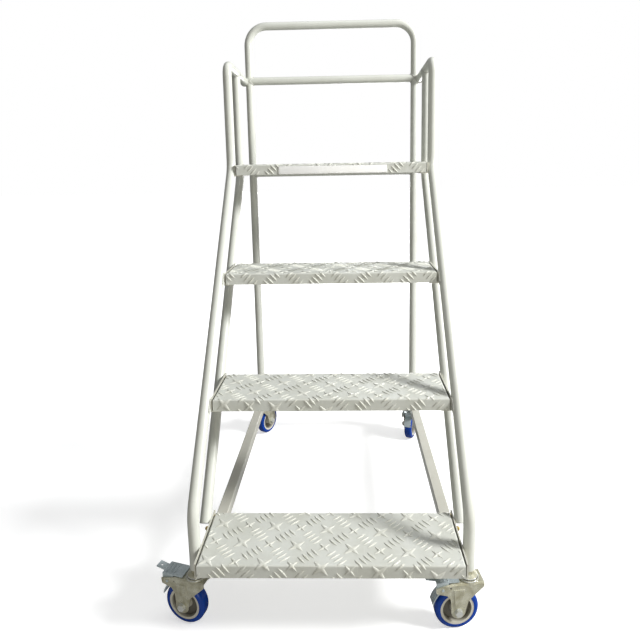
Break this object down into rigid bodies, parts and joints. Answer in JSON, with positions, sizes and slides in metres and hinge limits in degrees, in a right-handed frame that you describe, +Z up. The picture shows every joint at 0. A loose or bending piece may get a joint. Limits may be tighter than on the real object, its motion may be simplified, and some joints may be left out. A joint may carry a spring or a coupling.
{
  "type": "rolling step ladder",
  "caption": "Rolling step ladder with checker-plate treads, a platform with tube handrails and a rear arch, on swivel casters with foot brakes.",
  "frame": {"origin": "on the floor, on the ladder's centreline, midway between the front and rear caster swivel axes", "axes": "+X to the climber's right, +Y from the lowest tread towards the platform, +Z up"},
  "size_m": [0.7459, 1.06, 1.5294],
  "materials": {
    "powder_coated_steel": "light grey powder coat",
    "zinc_plated_steel": "zinc plated, satin",
    "hub_plastic": "moulded, pale grey",
    "blue_tyre": "blue polyurethane, glossy"
  },
  "bodies": {
    "root": {"tread_1": "powder_coated_steel", "tread_2": "powder_coated_steel", "tread_3": "powder_coated_steel", "platform": "powder_coated_steel", "tread_1_angles": "powder_coated_steel", "tread_2_angles": "powder_coated_steel", "tread_3_angles": "powder_coated_steel", "platform_angles": "powder_coated_steel", "front_stringer_left": "powder_coated_steel", "front_stringer_right": "powder_coated_steel", "rear_stringer_left": "powder_coated_steel", "rear_stringer_right": "powder_coated_steel", "rear_arch": "powder_coated_steel", "crossbar": "powder_coated_steel", "platform_bar": "powder_coated_steel", "base_rail_left": "powder_coated_steel", "base_rail_right": "powder_coated_steel", "rear_rail": "powder_coated_steel", "stem_front_left": "zinc_plated_steel", "stem_front_right": "zinc_plated_steel", "stem_rear_left": "zinc_plated_steel", "stem_rear_right": "zinc_plated_steel"},
    "caster_front_left": {"fork_front_left": "zinc_plated_steel", "pedal_front_left": "zinc_plated_steel", "brake_front_left": "zinc_plated_steel", "axle_front_left": "zinc_plated_steel"},
    "wheel_front_left": {"hub_front_left": "hub_plastic", "tyre_front_left": "blue_tyre"},
    "caster_front_right": {"fork_front_right": "zinc_plated_steel", "pedal_front_right": "zinc_plated_steel", "brake_front_right": "zinc_plated_steel", "axle_front_right": "zinc_plated_steel"},
    "wheel_front_right": {"hub_front_right": "hub_plastic", "tyre_front_right": "blue_tyre"},
    "caster_rear_left": {"fork_rear_left": "zinc_plated_steel", "pedal_rear_left": "zinc_plated_steel", "brake_rear_left": "zinc_plated_steel", "axle_rear_left": "zinc_plated_steel"},
    "wheel_rear_left": {"hub_rear_left": "hub_plastic", "tyre_rear_left": "blue_tyre"},
    "caster_rear_right": {"fork_rear_right": "zinc_plated_steel", "pedal_rear_right": "zinc_plated_steel", "brake_rear_right": "zinc_plated_steel", "axle_rear_right": "zinc_plated_steel"},
    "wheel_rear_right": {"hub_rear_right": "hub_plastic", "tyre_rear_right": "blue_tyre"}
  },
  "joints": [
    {"name": "swivel_front_left", "type": "hinge", "parent": "root", "child": "caster_front_left", "pos_m": [-0.3074, -0.452, 0.12], "axis": [0, 0, 1], "continuous": true},
    {"name": "roll_front_left", "type": "hinge", "parent": "caster_front_left", "child": "wheel_front_left", "pos_m": [-0.33418, -0.44381, 0.05], "axis": [-0.2924, -0.9563, 0], "continuous": true},
    {"name": "swivel_front_right", "type": "hinge", "parent": "root", "child": "caster_front_right", "pos_m": [0.3074, -0.452, 0.12], "axis": [0, 0, 1], "continuous": true},
    {"name": "roll_front_right", "type": "hinge", "parent": "caster_front_right", "child": "wheel_front_right", "pos_m": [0.27961, -0.45541, 0.05], "axis": [0.1219, -0.9925, 0], "continuous": true},
    {"name": "swivel_rear_left", "type": "hinge", "parent": "root", "child": "caster_rear_left", "pos_m": [-0.2904, 0.452, 0.12], "axis": [0, 0, 1], "continuous": true},
    {"name": "roll_rear_left", "type": "hinge", "parent": "caster_rear_left", "child": "wheel_rear_left", "pos_m": [-0.27725, 0.47672, 0.05], "axis": [-0.8829, 0.4695, 0], "continuous": true},
    {"name": "swivel_rear_right", "type": "hinge", "parent": "root", "child": "caster_rear_right", "pos_m": [0.2904, 0.452, 0.12], "axis": [0, 0, 1], "continuous": true},
    {"name": "roll_rear_right", "type": "hinge", "parent": "caster_rear_right", "child": "wheel_rear_right", "pos_m": [0.28105, 0.42561, 0.05], "axis": [0.9426, -0.3338, 0], "continuous": true}
  ]
}
